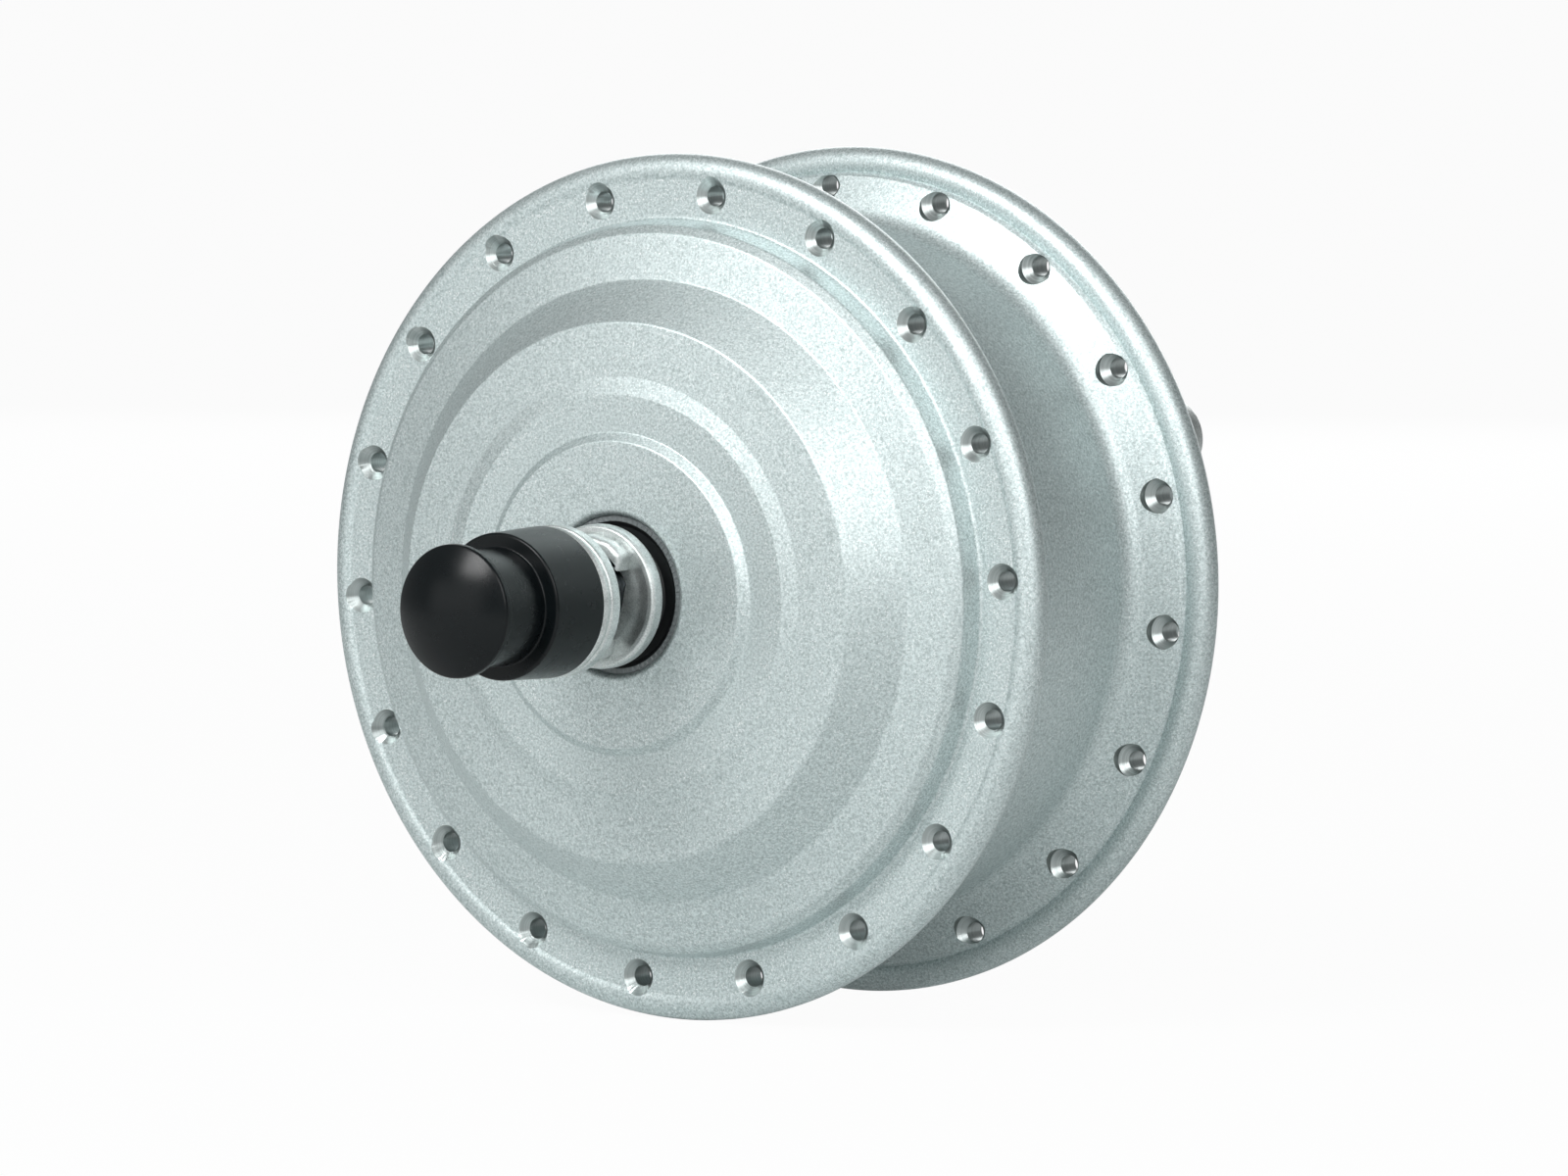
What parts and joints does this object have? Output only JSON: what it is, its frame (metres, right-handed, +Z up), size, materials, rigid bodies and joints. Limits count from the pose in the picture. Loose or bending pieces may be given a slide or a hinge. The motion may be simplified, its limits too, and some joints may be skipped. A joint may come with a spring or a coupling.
{
  "type": "geared hub motor",
  "caption": "Bicycle wheel hub with two drilled spoke flanges round a planetary-geared outrunner motor on a fixed hollow axle with keyed washers, nuts, caps and a torque arm.",
  "frame": {"origin": "on the axle's centre line, midway between the two spoke flanges and between the two axle ends", "axes": "+Y along the axle towards the cable end, +Z up, +X to the right when the near end faces the viewer"},
  "size_m": [0.1358, 0.173, 0.1358],
  "materials": {
    "silver_paint": "fine silver metallic paint with a light orange-peel grain, satin",
    "zinc_plate": "bright zinc plate, rounded edges",
    "black_plastic": "moulded black plastic, satin",
    "black_rubber": "moulded black rubber",
    "gasket_paper": "pressed fibre gasket",
    "black_steel": "black oxide",
    "axle_steel": "turned steel",
    "bearing_steel": "ground bearing steel",
    "cage_brass": "pressed brass",
    "gear_steel": "hardened steel, machined",
    "nylon": "machined nylon",
    "bronze": "sintered bronze",
    "bell_steel": "turned and zinc plated",
    "magnet_nickel": "nickel plate",
    "cast_alloy": "die cast, machined seats",
    "core_steel": "stacked laminations",
    "insulator_green": "epoxy insulation",
    "copper_wire": "enamelled copper wire",
    "board_green": "solder mask",
    "sensor_black": "moulded",
    "lead_yellow": "wire insulation"
  },
  "bodies": {
    "axle": {"axle": "axle_steel", "near_keyed_washer": "zinc_plate", "far_keyed_washer": "zinc_plate", "near_flat_washer": "zinc_plate", "far_flat_washer": "zinc_plate", "near_nut": "zinc_plate", "far_nut": "zinc_plate", "torque_arm": "zinc_plate", "cable_grommet": "black_rubber", "near_bearing_inner_race": "bearing_steel", "far_bearing_inner_race": "bearing_steel", "clutch_inner_ring": "gear_steel", "axle_clips": "black_steel", "rotor_bearing_inner_races": "bearing_steel", "stator_support": "cast_alloy", "stator_core": "core_steel", "slot_insulators": "insulator_green", "stator_windings": "copper_wire", "stator_key": "axle_steel", "hall_board": "board_green", "hall_sensors": "sensor_black", "motor_leads": "lead_yellow"},
    "carrier": {"planet_carrier": "gear_steel", "planet_pins": "bearing_steel", "pin_clips": "black_steel", "thrust_washers": "nylon", "clutch_rollers": "bearing_steel", "clutch_springs": "cage_brass"},
    "hub": {"hub_shell": "silver_paint", "side_cover": "silver_paint", "cover_gasket": "gasket_paper", "cover_screws": "black_steel", "ring_gear": "gear_steel", "near_bearing_outer_race": "bearing_steel", "far_bearing_outer_race": "bearing_steel", "near_seal": "black_rubber", "far_seal": "black_rubber"},
    "rotor": {"rotor_bell": "bell_steel", "magnets": "magnet_nickel", "sun_gear": "gear_steel", "rotor_bearing_outer_races": "bearing_steel"},
    "planet_1": {"planet_gear_1": "nylon", "planet_bush_1": "bronze"},
    "planet_2": {"planet_gear_2": "nylon", "planet_bush_2": "bronze"},
    "planet_3": {"planet_gear_3": "nylon", "planet_bush_3": "bronze"},
    "near_balls": {"near_bearing_balls": "bearing_steel", "near_bearing_cage": "cage_brass"},
    "far_balls": {"far_bearing_balls": "bearing_steel", "far_bearing_cage": "cage_brass"},
    "rotor_balls": {"rotor_bearing_balls": "bearing_steel", "rotor_bearing_cages": "cage_brass"},
    "near_cap": {"near_nut_cap": "black_plastic"},
    "far_cap": {"far_nut_cap": "black_plastic"}
  },
  "joints": [
    {"name": "clutch_overrun", "type": "hinge", "parent": "axle", "child": "carrier", "pos_m": [0, 0, 0], "axis": [0, 1, 0], "continuous": true},
    {"name": "hub_spin", "type": "hinge", "parent": "carrier", "child": "hub", "pos_m": [0, 0, 0], "axis": [0, 1, 0], "continuous": true},
    {"name": "rotor_spin", "type": "hinge", "parent": "carrier", "child": "rotor", "pos_m": [0, 0, 0], "axis": [0, 1, 0], "continuous": true},
    {"name": "planet_1_spin", "type": "hinge", "parent": "carrier", "child": "planet_1", "pos_m": [0.00985, 0, 0.02706], "axis": [0, 1, 0], "continuous": true},
    {"name": "planet_2_spin", "type": "hinge", "parent": "carrier", "child": "planet_2", "pos_m": [0.01851, 0, -0.02206], "axis": [0, 1, 0], "continuous": true},
    {"name": "planet_3_spin", "type": "hinge", "parent": "carrier", "child": "planet_3", "pos_m": [-0.02836, 0, -0.005], "axis": [0, 1, 0], "continuous": true},
    {"name": "near_balls_roll", "type": "hinge", "parent": "axle", "child": "near_balls", "pos_m": [0, 0, 0], "axis": [0, 1, 0], "continuous": true},
    {"name": "far_balls_roll", "type": "hinge", "parent": "axle", "child": "far_balls", "pos_m": [0, 0, 0], "axis": [0, 1, 0], "continuous": true},
    {"name": "rotor_balls_roll", "type": "hinge", "parent": "axle", "child": "rotor_balls", "pos_m": [0, 0, 0], "axis": [0, 1, 0], "continuous": true},
    {"name": "near_cap_pull", "type": "slide", "parent": "axle", "child": "near_cap", "axis": [0, -1, 0], "range_m": [0, 0.03]},
    {"name": "far_cap_pull", "type": "slide", "parent": "axle", "child": "far_cap", "axis": [0, 1, 0], "range_m": [0, 0.03]}
  ],
  "couplings": [
    {"joint": "rotor_spin", "follows": "hub_spin", "ratio": -4.3333},
    {"joint": "planet_1_spin", "follows": "hub_spin", "ratio": 2.6},
    {"joint": "planet_2_spin", "follows": "hub_spin", "ratio": 2.6},
    {"joint": "planet_3_spin", "follows": "hub_spin", "ratio": 2.6},
    {"joint": "near_balls_roll", "follows": "hub_spin", "ratio": 0.60128},
    {"joint": "far_balls_roll", "follows": "hub_spin", "ratio": 0.60128},
    {"joint": "rotor_balls_roll", "follows": "hub_spin", "ratio": -2.4333}
  ]
}
